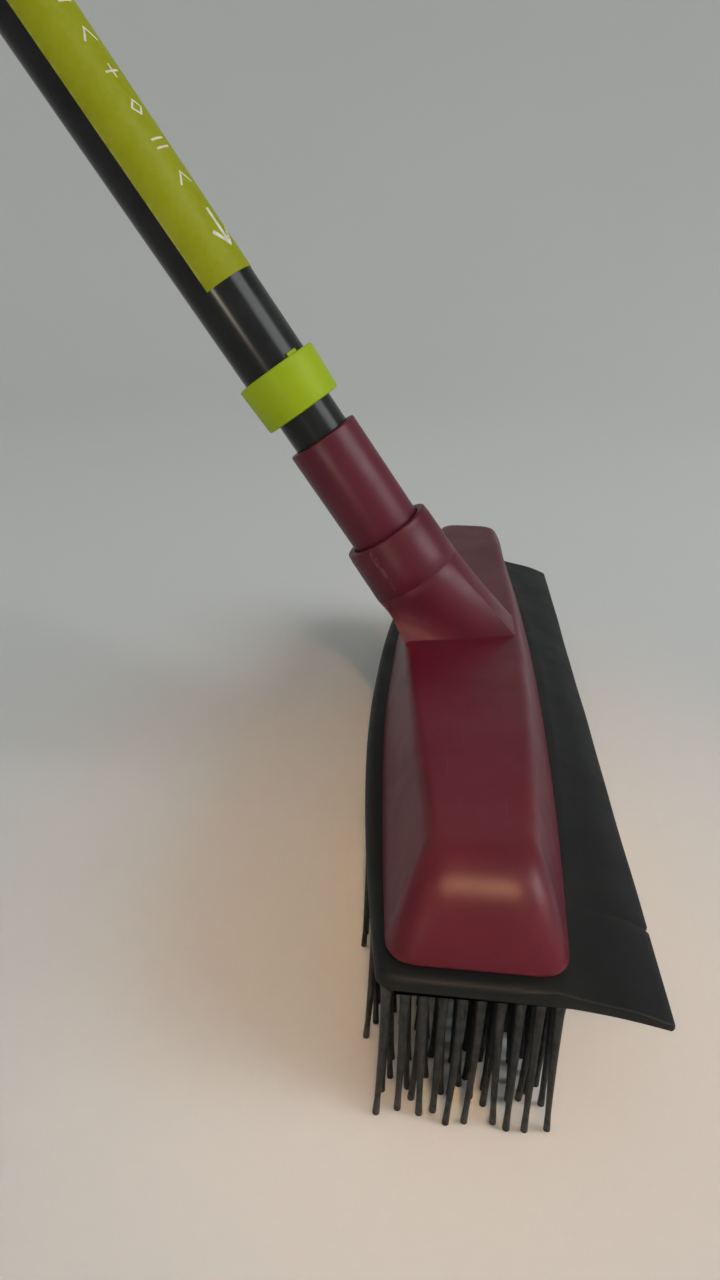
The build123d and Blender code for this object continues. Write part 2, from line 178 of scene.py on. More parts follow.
def make_effects():
    """The effects that the materials share: moulded grain, worn edges, dust and handling marks."""
    made = {}

    tree, web, given, sink = effect(
        "moulded_grain",
        [("Grain Scale", 2600.0), ("Flow Scale", 38.0), ("Flow Share", 0.4)],
        [("Height", "NodeSocketFloat"), ("Flow", "NodeSocketFloat")],
    )
    where = web.place()
    fine = web.noise(where, given["Grain Scale"], 2.0)
    flow = web.noise(where, given["Flow Scale"], 2.0)
    broad = web.maths("MULTIPLY", flow, given["Flow Share"])
    tree.links.new(web.maths("ADD", fine, broad), sink.inputs["Height"])
    tree.links.new(flow, sink.inputs["Flow"])
    made["grain"] = tree

    tree, web, given, sink = effect(
        "worn_edges",
        [("From", 0.52), ("To", 0.60), ("Breakup Scale", 420.0)],
        [("Mask", "NodeSocketFloat")],
    )
    edge = web.add("ShaderNodeNewGeometry").outputs["Pointiness"]
    sharp = web.ramp(edge, given["From"], given["To"])
    broken = web.ramp(web.noise(web.place(), given["Breakup Scale"], 4.0), 0.35, 0.62)
    tree.links.new(web.maths("MULTIPLY", sharp, broken), sink.inputs["Mask"])
    made["edges"] = tree

    tree, web, given, sink = effect(
        "settled_dust",
        [("Patch Scale", 26.0), ("Speck Scale", 1500.0), ("Amount", 0.5)],
        [("Mask", "NodeSocketFloat")],
    )
    where = web.place()
    patches = web.ramp(web.noise(where, given["Patch Scale"], 5.0, 0.6), 0.42, 0.72)
    specks = web.ramp(web.noise(where, given["Speck Scale"], 2.0, 0.7), 0.60, 0.72)
    facing = web.add("ShaderNodeSeparateXYZ", {0: web.add("ShaderNodeTexCoord").outputs["Normal"]})
    upward = web.ramp(facing.outputs["Z"], -0.3, 0.9)
    both = web.maths(
        "ADD", web.maths("MULTIPLY", patches, 0.55), web.maths("MULTIPLY", specks, 0.5)
    )
    laid = web.maths("MULTIPLY", both, upward)
    tree.links.new(web.maths("MULTIPLY", laid, given["Amount"], clamp=True), sink.inputs["Mask"])
    made["dust"] = tree

    tree, web, given, sink = effect(
        "handling_marks",
        [("Smudge Scale", 45.0), ("Scratch Scale", 900.0), ("Amount", 0.5)],
        [("Mask", "NodeSocketFloat"), ("Scratch", "NodeSocketFloat")],
    )
    where = web.place()
    smudges = web.ramp(web.noise(where, given["Smudge Scale"], 5.0, 0.65), 0.38, 0.70)
    drawn = web.add("ShaderNodeMapping", {"Vector": where, "Scale": (0.06, 1.0, 1.0)}).outputs[0]
    lines = web.ramp(web.noise(drawn, given["Scratch Scale"], 2.0, 0.4), 0.69, 0.73)
    sparse = web.ramp(web.noise(where, 60.0, 2.0), 0.52, 0.66)
    tree.links.new(web.maths("MULTIPLY", smudges, given["Amount"]), sink.inputs["Mask"])
    tree.links.new(web.maths("MULTIPLY", lines, sparse), sink.inputs["Scratch"])
    made["marks"] = tree
    return made


EFFECTS = make_effects()


def start_material(name):
    """A new material; gives it, its web and its Principled shader."""
    material = bpy.data.materials.new(name)
    material.use_nodes = True
    web = Web(material.node_tree)
    return material, web, material.node_tree.nodes["Principled BSDF"]


def use(web, effect_name, **values):
    """Places a shared effect in a material; keyword names are the inputs' with underscores."""
    made = web.add("ShaderNodeGroup", node_tree=EFFECTS[effect_name])
    for label, value in values.items():
        made.inputs[label.replace("_", " ")].default_value = value
    return made.outputs


def finish_surface(web, shader, colour, roughness, height, depth):
    """Links the colour, roughness and relief, whose depth is in metres, to the shader."""
    web.tree.links.new(colour, shader.inputs["Base Color"])
    web.tree.links.new(roughness, shader.inputs["Roughness"])
    bump = web.add("ShaderNodeBump", {"Height": height, "Distance": depth, "Strength": 1.0})
    web.tree.links.new(bump.outputs[0], shader.inputs["Normal"])


def moulded_plastic(name, deep, pale, worn, gloss, relief=0.00002, dust=0.25, shine=0.3):
    """Satin moulded plastic: two tones of the same colour, pale worn edges, dust and smudges."""
    material, web, shader = start_material(name)
    grain = use(web, "grain", Grain_Scale=2400.0, Flow_Scale=30.0)
    edges = use(web, "edges")
    film = use(web, "dust", Amount=dust)
    marks = use(web, "marks", Amount=0.6)
    tone = web.mix(web.ramp(grain["Flow"], 0.3, 0.7), deep, pale)
    tone = web.mix(web.maths("MULTIPLY", edges["Mask"], 0.55), tone, worn)
    tone = web.mix(web.maths("MULTIPLY", marks["Scratch"], 0.15), tone, worn)
    tone = web.mix(web.maths("MULTIPLY", film["Mask"], 0.35), tone, (0.42, 0.40, 0.38))
    rough = web.maths("ADD", web.maths("MULTIPLY", marks["Mask"], 0.16), gloss)
    rough = web.maths("ADD", rough, web.maths("MULTIPLY", film["Mask"], 0.3), clamp=True)
    relief_map = web.maths(
        "SUBTRACT", grain["Height"], web.maths("MULTIPLY", marks["Scratch"], 0.4)
    )
    finish_surface(web, shader, tone, rough, relief_map, relief)
    shader.inputs["Specular IOR Level"].default_value = shine
    return material


def soft_rubber(name, deep, pale, dust=0.5, gloss=0.52):
    """Matte black rubber with a bloom of pale dust, faint flow lines and fine grain."""
    material, web, shader = start_material(name)
    grain = use(web, "grain", Grain_Scale=1800.0, Flow_Scale=55.0)
    edges = use(web, "edges")
    film = use(web, "dust", Amount=dust, Patch_Scale=34.0)
    marks = use(web, "marks", Amount=0.6, Smudge_Scale=60.0)
    tone = web.mix(web.ramp(grain["Flow"], 0.3, 0.7), deep, pale)
    tone = web.mix(web.maths("MULTIPLY", marks["Mask"], 0.5), tone, pale)
    tone = web.mix(web.maths("MULTIPLY", edges["Mask"], 0.35), tone, (0.09, 0.095, 0.09))
    tone = web.mix(web.maths("MULTIPLY", film["Mask"], 0.22), tone, (0.34, 0.34, 0.31))
    rough = web.maths("ADD", web.maths("MULTIPLY", marks["Mask"], 0.14), gloss)
    rough = web.maths("ADD", rough, web.maths("MULTIPLY", film["Mask"], 0.3), clamp=True)
    finish_surface(web, shader, tone, rough, grain["Height"], 0.00003)
    shader.inputs["Specular IOR Level"].default_value = 0.25
    return material


def painted_steel(name, deep, pale):
    """Satin powder coat: orange peel, fine speckle, light scratches."""
    material, web, shader = start_material(name)
    grain = use(web, "grain", Grain_Scale=1500.0, Flow_Scale=90.0, Flow_Share=0.6)
    film = use(web, "dust", Amount=0.25)
    marks = use(web, "marks", Amount=0.6, Scratch_Scale=1400.0)
    tone = web.mix(web.ramp(grain["Flow"], 0.3, 0.7), deep, pale)
    tone = web.mix(web.maths("MULTIPLY", marks["Scratch"], 0.3), tone, (0.10, 0.10, 0.10))
    tone = web.mix(web.maths("MULTIPLY", film["Mask"], 0.25), tone, (0.35, 0.35, 0.34))
    rough = web.maths("ADD", web.maths("MULTIPLY", marks["Mask"], 0.05), 0.22)
    rough = web.maths("ADD", rough, web.maths("MULTIPLY", film["Mask"], 0.3), clamp=True)
    finish_surface(web, shader, tone, rough, grain["Height"], 0.000003)
    shader.inputs["Specular IOR Level"].default_value = 0.22
    return material


def zinc_steel(name):
    """Zinc-plated steel, dulled in patches."""
    material, web, shader = start_material(name)
    grain = use(web, "grain", Grain_Scale=5200.0, Flow_Scale=400.0)
    edges = use(web, "edges")
    marks = use(web, "marks", Amount=0.8, Smudge_Scale=300.0)
    tone = web.mix(web.ramp(grain["Flow"], 0.3, 0.7), (0.42, 0.42, 0.44), (0.60, 0.60, 0.62))
    tone = web.mix(web.maths("MULTIPLY", edges["Mask"], 0.5), tone, (0.75, 0.75, 0.77))
    rough = web.maths("ADD", web.maths("MULTIPLY", marks["Mask"], 0.25), 0.28, clamp=True)
    finish_surface(web, shader, tone, rough, grain["Height"], 0.00001)
    shader.inputs["Metallic"].default_value = 1.0
    return material


MATERIALS = {
    "burgundy_plastic": moulded_plastic(
        "burgundy_plastic", (0.078, 0.004, 0.013), (0.094, 0.006, 0.018), (0.20, 0.06, 0.08), 0.36, dust=0.1
    ),
    "cap_plastic": moulded_plastic(
        "cap_plastic", (0.078, 0.004, 0.013), (0.094, 0.006, 0.018), (0.20, 0.06, 0.08), 0.38
    ),
    "backing_plastic": moulded_plastic(
        "backing_plastic", (0.045, 0.045, 0.05), (0.065, 0.065, 0.07), (0.12, 0.12, 0.12), 0.5
    ),
    "thread_plastic": moulded_plastic(
        "thread_plastic", (0.022, 0.022, 0.024), (0.034, 0.034, 0.036), (0.1, 0.1, 0.1), 0.42
    ),
    "lock_plastic": moulded_plastic(
        "lock_plastic", (0.30, 0.30, 0.29), (0.38, 0.38, 0.36), (0.5, 0.5, 0.48), 0.4
    ),
    "lime_plastic": moulded_plastic(
        "lime_plastic", (0.27, 0.37, 0.003), (0.31, 0.42, 0.005), (0.5, 0.58, 0.1), 0.45, dust=0.06, shine=0.2
    ),
    "lime_label": moulded_plastic(
        "lime_label", (0.25, 0.265, 0.001), (0.275, 0.29, 0.002), (0.45, 0.47, 0.1), 0.46, 0.000004, 0.03, 0.15
    ),
    "pale_ink": moulded_plastic(
        "pale_ink", (0.50, 0.50, 0.38), (0.58, 0.58, 0.44), (0.8, 0.8, 0.7), 0.5, 0.000004, 0.1
    ),
    "black_rubber": soft_rubber(
        "black_rubber", (0.003, 0.0045, 0.005), (0.005, 0.007, 0.0075), dust=0.05
    ),
    "bristle_rubber": soft_rubber(
        "bristle_rubber", (0.004, 0.006, 0.007), (0.008, 0.011, 0.012), dust=0.1, gloss=0.45
    ),
    "charcoal_tube": painted_steel(
        "charcoal_tube", (0.009, 0.010, 0.010), (0.013, 0.014, 0.014)
    ),
    "screw_steel": zinc_steel("screw_steel"),
}


def dress_cad_nodes():
    """Gives every CAD node the finish of its material slot."""
    slots = {part["node"]: part["material_slot"] for part in frame["record"]["subparts"]}
    for name, item in frame["nodes"].items():
        item.data.materials.clear()
        item.data.materials.append(MATERIALS[slots[name]])


def make_floor():
    """A round pale floor that turns up into a wall; seen from below it is clear."""
    profile = [(0.0, 0.0), (FLOOR_FLAT, 0.0)]
    for step in range(1, 25):
        turn = radians(90 * step / 24)
        profile.append((FLOOR_FLAT + FLOOR_BEND * sin(turn), FLOOR_BEND * (1 - cos(turn))))
    profile.append((FLOOR_FLAT + FLOOR_BEND, FLOOR_BEND + FLOOR_WALL))
    sides = 96
    mesh = bpy.data.meshes.new("floor")
    points = [(0, 0, -FLOOR_GAP)]
    for radius, height in profile[1:]:
        for k in range(sides):
            turn = 2 * pi * k / sides
            points.append((radius * cos(turn), radius * sin(turn), height - FLOOR_GAP))
    faces = [(0, 1 + k, 1 + (k + 1) % sides) for k in range(sides)]
    for ring in range(len(profile) - 2):
        first = 1 + ring * sides
        for k in range(sides):
            after = (k + 1) % sides
            faces.append((first + k, first + sides + k, first + sides + after, first + after))
    mesh.from_pydata(points, [], faces)
    mesh.polygons.foreach_set("use_smooth", [True] * len(mesh.polygons))
    floor = bpy.data.objects.new("floor", mesh)
    bpy.context.scene.collection.objects.link(floor)
    material, web, shader = start_material("pale_floor")
    shader.inputs["Roughness"].default_value = 0.9
    shader.inputs["Specular IOR Level"].default_value = 0.1
    tone = web.mix(web.noise(web.place(), 1.2, 2.0), (0.70, 0.71, 0.70), (0.73, 0.735, 0.72))
    web.tree.links.new(tone, shader.inputs["Base Color"])
    clear = web.add("ShaderNodeBsdfTransparent")
    sides_mix = web.add(
        "ShaderNodeMixShader", {0: web.add("ShaderNodeNewGeometry").outputs["Backfacing"]}
    )
    web.tree.links.new(shader.outputs[0], sides_mix.inputs[1])
    web.tree.links.new(clear.outputs[0], sides_mix.inputs[2])
    web.tree.links.new(
        sides_mix.outputs[0], material.node_tree.nodes["Material Output"].inputs["Surface"]
    )
    mesh.materials.append(material)


# ---------------------------------------------------------------- the handle's own frame
EYE_STATION = 0.829  # the hanging eye, along the handle from the top of the head
AXIS = Vector(JOINTS["handle_unscrew"]["axis"]).normalized()
SIDE = Vector((1, 0, 0))
BACK = AXIS.cross(SIDE)
FOOT = Vector(MOUNTS["hang_eye"]["pos_m"]) - EYE_STATION * AXIS


def on_handle(station, radius, turn):
    """The point this far along the handle and out from its axis; turn 0 is +X, a quarter is the back."""
    return FOOT + AXIS * station + (SIDE * cos(turn) + BACK * sin(turn)) * radius


# ---------------------------------------------------------------- building meshes
def add_piece(name, mesh, material, body, stands_for=(), sharp=35.0):
    """A finished mesh as a piece: its finish, its body and the CAD nodes it stands for."""
    tidy = bmesh.new()
    tidy.from_mesh(mesh)
    bmesh.ops.remove_doubles(tidy, verts=tidy.verts, dist=1e-6)
    bmesh.ops.dissolve_degenerate(tidy, edges=tidy.edges, dist=4e-6)
    bmesh.ops.recalc_face_normals(tidy, faces=tidy.faces)
    tidy.to_mesh(mesh)
    tidy.free()
    mesh.polygons.foreach_set("use_smooth", [True] * len(mesh.polygons))
    mesh.set_sharp_from_angle(angle=radians(sharp))
    mesh.materials.clear()
    mesh.materials.append(MATERIALS[material])
    piece = bpy.data.objects.new(name, mesh)
    bpy.context.scene.collection.objects.link(piece)
    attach(piece, body)
    if stands_for:
        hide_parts(*stands_for)
    return piece


def skin(name, rings, ends="cap"):
    """A mesh through rings of equal point counts; its ends are capped, joined to each other or left."""
    count = len(rings[0])
    points = [point for ring in rings for point in ring]
    faces = []
    spans = len(rings) if ends == "join" else len(rings) - 1
    for ring in range(spans):
        first, second = ring * count, (ring + 1) % len(rings) * count
        for k in range(count):
            after = (k + 1) % count
            faces.append((first + k, first + after, second + after, second + k))
    if ends == "cap":
        faces.append(tuple(reversed(range(count))))
        faces.append(tuple(range(len(points) - count, len(points))))
    mesh = bpy.data.meshes.new(name)
    mesh.from_pydata([tuple(point) for point in points], [], faces)
    return mesh


def soften(points, cut, steps=4, closed=True):
    """A flat outline with each corner replaced by a curve that starts this far from it."""
    made = []
    for k, corner in enumerate(points):
        if not closed and k in (0, len(points) - 1):
            made.append(tuple(corner))
            continue
        before = Vector(points[k - 1]) - Vector(corner)
        after = Vector(points[(k + 1) % len(points)]) - Vector(corner)
        reach = min(cut, 0.45 * before.length, 0.45 * after.length)
        start = Vector(corner) + before.normalized() * reach
        end = Vector(corner) + after.normalized() * reach
        for step in range(steps + 1):
            t = step / steps
            point = start * (1 - t) ** 2 + Vector(corner) * 2 * t * (1 - t) + end * t**2
            made.append(tuple(point))
    return made


def turned(name, profile, sides=96, ends="join"):
    """A mesh turned about the handle's axis from (radius, station) points."""
    turns = [2 * pi * k / sides for k in range(sides)]
    rings = [[on_handle(station, radius, turn) for turn in turns] for radius, station in profile]
    return skin(name, rings, ends)


# ---------------------------------------------------------------- head shell and its socket
MID_Y = -0.002  # the head's middle plane
DECK_Z = 0.0426  # the pad's top, where the shell stands
TOP_Z = 0.0638
SHELL_WALL = 0.0022
#            half length, left widths, left power, left flat, right widths, corner
BASE_LINE = (0.1397, (0.0271, 0.0186), 1.43, 0.021, (0.0242, 0.0196), 0.0072)
CREST_LINE = (0.1272, (0.0218, 0.0106), 1.08, 0.019, (0.0159, 0.0116), 0.0062)
SIDE_ROUND = 0.0024  # where the ridge's rounding starts, along the sides and at the ends
END_ROUND = 0.0042
END_FULL = 0.0085  # how far the ends' walls are drawn out beyond the crest
RIM_ROUND = 0.0005

FOOT_LEFT = (0.020, MID_Y - 0.0218)  # half length and place of the socket's foot at each ridge
FOOT_RIGHT = (0.009, MID_Y + 0.0153)
FOOT_SUNK = 0.0011
FLARE_TOP = 0.0207
SOCKET_R = 0.0156
MOUTH = 0.0391
MOUTH_R = 0.01515
MOUTH_BORE_R = 0.01235
MOUTH_FLOOR = 0.031
THREAD_BORE_R = 0.0099
THREAD_FLOOR = 0.0085
LINE_DEEP = 0.00014  # the fine mould line round the socket
LINE_WIDE = 0.00035


def half_width(widths, power, flat, half, x):
    """Half width at x, from the middle's width to the end's, level over the flat stretch."""
    middle, end = widths
    share = max(0.0, abs(x) - flat) / (half - flat)
    return middle - (middle - end) * share**power


def outline(line, inset=0.0, along=56, across=14, bend=9):
    """The shell's plan outline as points, anticlockwise from the middle of the left side."""
    half, left, power, flat, right, corner = line
    reach = half - inset
    corner = min(max(corner - inset, 0.0008), 0.42 * (left[1] + right[1] - 2 * inset))

    def left_y(x):
        return MID_Y - half_width(left, power, flat, half, x) + inset

    def right_y(x):
        return MID_Y + half_width(right, 2.0, 0.0, half, x) - inset

    def turn_corner(start, tip, end):
        start, tip, end = Vector(start), Vector(tip), Vector(end)
        shares = [(k + 1) / (bend + 1) for k in range(bend)]
        return [start * (1 - t) ** 2 + tip * 2 * t * (1 - t) + end * t**2 for t in shares]

    quarter = [(reach - corner) * k / along for k in range(along + 1)]
    low_corner = turn_corner(
        (reach - corner, left_y(reach - corner)), (reach, left_y(reach)), (
            reach, left_y(reach) + corner
        )
    )
    high_corner = turn_corner(
        (reach, right_y(reach) - corner), (reach, right_y(reach)), (
            reach - corner, right_y(reach - corner)
        )
    )
    first, last = left_y(reach) + corner, right_y(reach) - corner
    end = [(reach, first + (last - first) * k / across) for k in range(across + 1)]
    near = [(x, left_y(x)) for x in quarter] + [tuple(p) for p in low_corner] + end
    near += [tuple(p) for p in high_corner] + [(x, right_y(x)) for x in reversed(quarter)]
    far = [(-x, y) for x, y in reversed(near)]
    return near + far[1:-1]


def narrower(line, ends, sides):
    """The same outline drawn in by this much at its ends and along its sides."""
    half, left, power, flat, right, corner = line
    left, right = [tuple(width - sides for width in widths) for widths in (left, right)]
    return half - ends, left, power, flat, right, corner * 0.8


def spine(line, share, height):
    """An outline drawn this share of the way in to its middle line, over which its points spread evenly."""
    count = len(line)
    half = count // 4
    middle, reach = line[half][1], line[half][0] - 0.004
    made = []
    for k, (x, y) in enumerate(line):
        side = 1 if k <= count // 2 else -1
        place = k if side > 0 else count - k
        goal = side * reach * (1 - abs(place - half) / half)
        made.append((x + (goal - x) * share, y + (middle - y) * share, height))
    return made


def curve_point(start, pull, end, t):
    """A point of the curve from start to end that the middle point pulls."""
    return start * (1 - t) ** 2 + pull * 2 * t * (1 - t) + end * t**2


def wall_profile(low, high, top, facing, steps=26):
    """The shell's outside from rim to top: straight with a crisp ridge on the sides, full at the ends."""
    wall = (low - high).normalized()
    cut = min((top - high).length, 0.3 * (low - high).length)
    start, bend = low - wall * RIM_ROUND, high + wall * cut
    endward = min(1.0, max(0.0, (abs(facing.x) - 0.05) / 0.85))
    full = high + facing * END_FULL
    points = []
    for step in range(steps + 1):
        t = step / steps
        if t < 0.7:
            plain = start.lerp(bend, t / 0.7)
        else:
            plain = curve_point(bend, high, top, (t - 0.7) / 0.3)
        points.append(plain.lerp(curve_point(start, full, top, t), endward))
    return points


def shell_body():
    """The hollow moulding without its socket, from the inner roof out under the rim and over the top."""
    base, crest = outline(BASE_LINE), outline(CREST_LINE)
    inner_base, inner_crest = outline(BASE_LINE, SHELL_WALL), outline(CREST_LINE, SHELL_WALL)
    crown = outline(narrower(CREST_LINE, END_ROUND, SIDE_ROUND))
    count = len(base)
    rings = [spine(inner_crest, share, TOP_Z - SHELL_WALL) for share in (1.0, 0.5, 0.0)]
    rings.append([(x, y, DECK_Z) for x, y in inner_base])
    walls, rim = [], []
    for k in range(count):
        low, high, top = Vector((*base[k], DECK_Z)), Vector((*crest[k], TOP_Z)), Vector(
            (*crown[k], TOP_Z)
        )
        along = Vector(base[(k + 1) % count]) - Vector(base[k - 1])
        facing = Vector((along.y, -along.x, 0)).normalized()
        rim.append(low - facing * RIM_ROUND)
        walls.append(wall_profile(low, high, top, facing))
    rings.append(rim)
    rings += [list(ring) for ring in zip(*walls, strict=True)]
    for more in (0.0006, 0.0016, 0.004):
        line = outline(narrower(CREST_LINE, END_ROUND + more, SIDE_ROUND + more))
        rings.append([(x, y, TOP_Z) for x, y in line])
    rings += [spine(line, share, TOP_Z) for share in (0.3, 0.6, 0.85, 1.0)]
    return skin("shell_body", rings, "open")


def foot_point(turn):
    """Where the socket's foot lies in this direction from its middle."""
    (left_x, left_y), (right_x, right_y) = FOOT_LEFT, FOOT_RIGHT
    centre = Vector((0.0, (left_y * 0.42 + right_y * 0.58)))
    aim = Vector((cos(turn), sin(turn)))
    corners = [(left_x, left_y), (right_x, right_y), (-right_x, right_y), (-left_x, left_y)]
    best = None
    for a, b in zip(corners, corners[1:] + corners[:1], strict=True):
        a, b = Vector(a), Vector(b)
        edge = b - a
        cross = aim.x * edge.y - aim.y * edge.x
        if abs(cross) < 1e-12:
            continue
        gap = a - centre
        reach = (gap.x * edge.y - gap.y * edge.x) / cross
        along = (gap.x * aim.y - gap.y * aim.x) / cross
        if reach > 0 and -1e-9 <= along <= 1 + 1e-9 and (best is None or reach < best):
            best = reach
    point = centre + aim * best
    return Vector((point.x, point.y, TOP_Z - FOOT_SUNK))


def socket_body(sides=144):
    """The socket: its flared foot, the round barrel with its mould line, the mouth and the bore."""
    turns = [2 * pi * k / sides for k in range(sides)]
    rings = []
    for step in range(9):
        share = step / 8
        rings.append(
            [foot_point(t).lerp(on_handle(FLARE_TOP - LINE_WIDE, SOCKET_R, t), share) for t in turns]
        )
    barrel = [
        (SOCKET_R - LINE_DEEP, FLARE_TOP),
        (SOCKET_R, FLARE_TOP + LINE_WIDE),
        (SOCKET_R - 0.2 * (SOCKET_R - MOUTH_R), FLARE_TOP + 0.25 * (MOUTH - FLARE_TOP)),
        (MOUTH_R + 0.0001, MOUTH - 0.0024),
    ]
    barrel += soften(
        [
            (MOUTH_R, MOUTH - 0.0022),
            (MOUTH_R - 0.0001, MOUTH),
            (MOUTH_BORE_R, MOUTH),
            (MOUTH_BORE_R, MOUTH_FLOOR),
        ],
        0.0008,
        5,
        closed=False,
    )
    barrel += [(THREAD_BORE_R, MOUTH_FLOOR), (THREAD_BORE_R, THREAD_FLOOR)]
    rings += [[on_handle(station, radius, t) for t in turns] for radius, station in barrel]
    return skin("socket_body", rings)


def hold(mesh):
    """A plain object for a mesh that is still being worked on."""
    item = bpy.data.objects.new(mesh.name, mesh)
    bpy.context.scene.collection.objects.link(item)
    return item


def finished_mesh(item, name):
    """The object's mesh as its modifiers leave it; the object is removed."""
    graph = bpy.context.evaluated_depsgraph_get()
    mesh = bpy.data.meshes.new_from_object(item.evaluated_get(graph))
    mesh.name = name
    bpy.data.objects.remove(item)
    return mesh


def closed_outwards(mesh):
    """Joins a mesh's coinciding points and points its faces outwards."""
    work = bmesh.new()
    work.from_mesh(mesh)
    bmesh.ops.remove_doubles(work, verts=work.verts, dist=1e-6)
    bmesh.ops.recalc_face_normals(work, faces=work.faces)
    work.to_mesh(mesh)
    work.free()
    return mesh


def make_head_shell():
    """The moulded head with its socket, one closed moulding."""
    body, socket = hold(closed_outwards(shell_body())), hold(closed_outwards(socket_body()))
    union = body.modifiers.new("union", "BOOLEAN")
    union.operation = "UNION"
    union.solver = "EXACT"
    union.object = socket
    mesh = finished_mesh(body, "head_moulding")
    bpy.data.objects.remove(socket)
    add_piece(
        "head_moulding", mesh, "burgundy_plastic", "head", ["head_shell"], 32.0
    )


# ---------------------------------------------------------------- rubber pad with its squeegee
PAD_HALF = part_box("rubber_pad")[1].x
PAD_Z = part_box("bristles")[1].z  # the pad's underside
PAD_LEFT = (0.0323, 0.0200)
PAD_RIGHT = (0.0293, 0.0198)
PAD_LEFT_POWER = 1.8
PAD_LEFT_FLAT = 0.010
PAD_CORNER = 0.0035
PAD_ROLL = 0.0026
SQUEEGEE_TIP_Y = MID_Y + 0.0403
SQUEEGEE_TIP_Z = 0.0351
SQUEEGEE_TIP_THICK = 0.0013
SQUEEGEE_BREAK = 0.003
SQUEEGEE_CORNER = 0.0006
NICK_X = 0.1152  # a small nick in the squeegee's edge


def corner_cut(x, half, radius):
    """How far a rounded corner has turned in at x."""
    over = abs(x) - (half - radius)
    return 0.0 if over <= 0 else radius - (max(radius**2 - over**2, 0.0)) ** 0.5


def pad_section(x):
    """The closed cross-section of pad and squeegee at x, clockwise from the left edge's foot."""
    end_cut = corner_cut(x, PAD_HALF, PAD_CORNER)
    left = MID_Y - half_width(PAD_LEFT, PAD_LEFT_POWER, PAD_LEFT_FLAT, PAD_HALF, x) + end_cut
    edge = MID_Y + half_width(PAD_RIGHT, 2.0, 0.0, PAD_HALF, x)
    top = DECK_Z - 0.7 * corner_cut(x, PAD_HALF, PAD_ROLL)
    ripple = 0.00025 * sin(x * 61.0 + 0.7) + 0.00012 * sin(x * 143.0)
    nick = 0.0007 * max(0.0, 1 - abs(x - NICK_X) / 0.0011)
    tip_y = SQUEEGEE_TIP_Y - corner_cut(x, PAD_HALF, SQUEEGEE_CORNER) - nick
    tip_low = SQUEEGEE_TIP_Z + ripple
    tip_high = tip_low + SQUEEGEE_TIP_THICK
    points = [(left + 0.0005, PAD_Z), (left, PAD_Z + 0.0005), (left, PAD_Z + 0.0010)]
    for step in range(6):
        turn = radians(90 * step / 5)
        points.append((left + PAD_ROLL * (1 - cos(turn)), top - PAD_ROLL * (1 - sin(turn))))
    points += [(MID_Y - 0.012, top), (MID_Y, top), (MID_Y + 0.010, top)]
    break_y = edge - SQUEEGEE_BREAK
    lip_top = DECK_Z - 0.15 * corner_cut(x, PAD_HALF, PAD_ROLL)
    for step in range(13):
        share = step / 12
        sag = 0.0006 * sin(pi * share) - 0.0003 * sin(2 * pi * share)
        points.append(
            (break_y + (tip_y - break_y) * share, lip_top + (tip_high - lip_top) * share + sag)
        )
    points += [
        (tip_y + 0.0002, tip_low + 0.8 * SQUEEGEE_TIP_THICK), (tip_y + 0.0002, tip_low + 0.0003)
    ]
    for step in range(10):
        share = step / 9
        sag = 0.0004 * sin(pi * share)
        points.append((tip_y + (edge - tip_y) * share, tip_low + (PAD_Z - tip_low) * share + sag))
    points += [(edge - 0.001, PAD_Z), (MID_Y + 0.010, PAD_Z), (MID_Y - 0.012, PAD_Z)]
    return [(x, y, z) for y, z in points]


def make_pad():
    """Rubber pad and squeegee, lofted along the head."""
    ends = [PAD_HALF - PAD_CORNER * (1 - cos(radians(90 * k / 7))) for k in range(8)]
    inside = PAD_HALF - PAD_CORNER
    near_nick = [NICK_X + 0.0011 * k / 2 for k in range(-2, 3)]
    steps = [inside * k / 60 for k in range(-60, 61)]
    steps = [x for x in steps if abs(x - NICK_X) > 0.0016] + near_nick
    steps += [x for x in ends if x > inside] + [-x for x in ends if x > inside]
    rings = [pad_section(x) for x in sorted(set(round(x, 7) for x in steps))]
    add_piece(
        "pad_with_squeegee",
        skin("pad", rings),
        "black_rubber",
        "head",
        ["rubber_pad"],
    )


# ---------------------------------------------------------------- bristles
BRISTLE_PITCH_X = 0.005
BRISTLE_PITCH_Y = 0.004
BRISTLE_COLUMNS = range(-8, 7)
BRISTLE_INSET = 0.0014
BRISTLE_ROOT_R = 0.00118
BRISTLE_TIP_R = 0.00062
WELL_R = 0.0042
WELL_AT = [(x, MID_Y) for x in (-0.112, -0.045, 0.045, 0.112)]


def bristle_roots():
    """The points on the pad's underside where the bristles stand."""
    roots = []
    count = int(PAD_HALF // BRISTLE_PITCH_X)
    for column in BRISTLE_COLUMNS:
        for row in range(-count, count + 1):
            x, y = row * BRISTLE_PITCH_X, column * BRISTLE_PITCH_Y
            left = MID_Y - half_width(PAD_LEFT, 2.0, 0.0, PAD_HALF, x) + BRISTLE_INSET
            right = MID_Y + half_width(PAD_RIGHT, 2.0, 0.0, PAD_HALF, x) - BRISTLE_INSET
            clear = all(
                (x - a) ** 2 + (y - b) ** 2 > (WELL_R + BRISTLE_ROOT_R) ** 2 for a, b in WELL_AT
            )
            if left <= y <= right and clear and abs(x) < PAD_HALF - BRISTLE_INSET:
                roots.append((x, y, PAD_Z + 0.0002))
    return roots


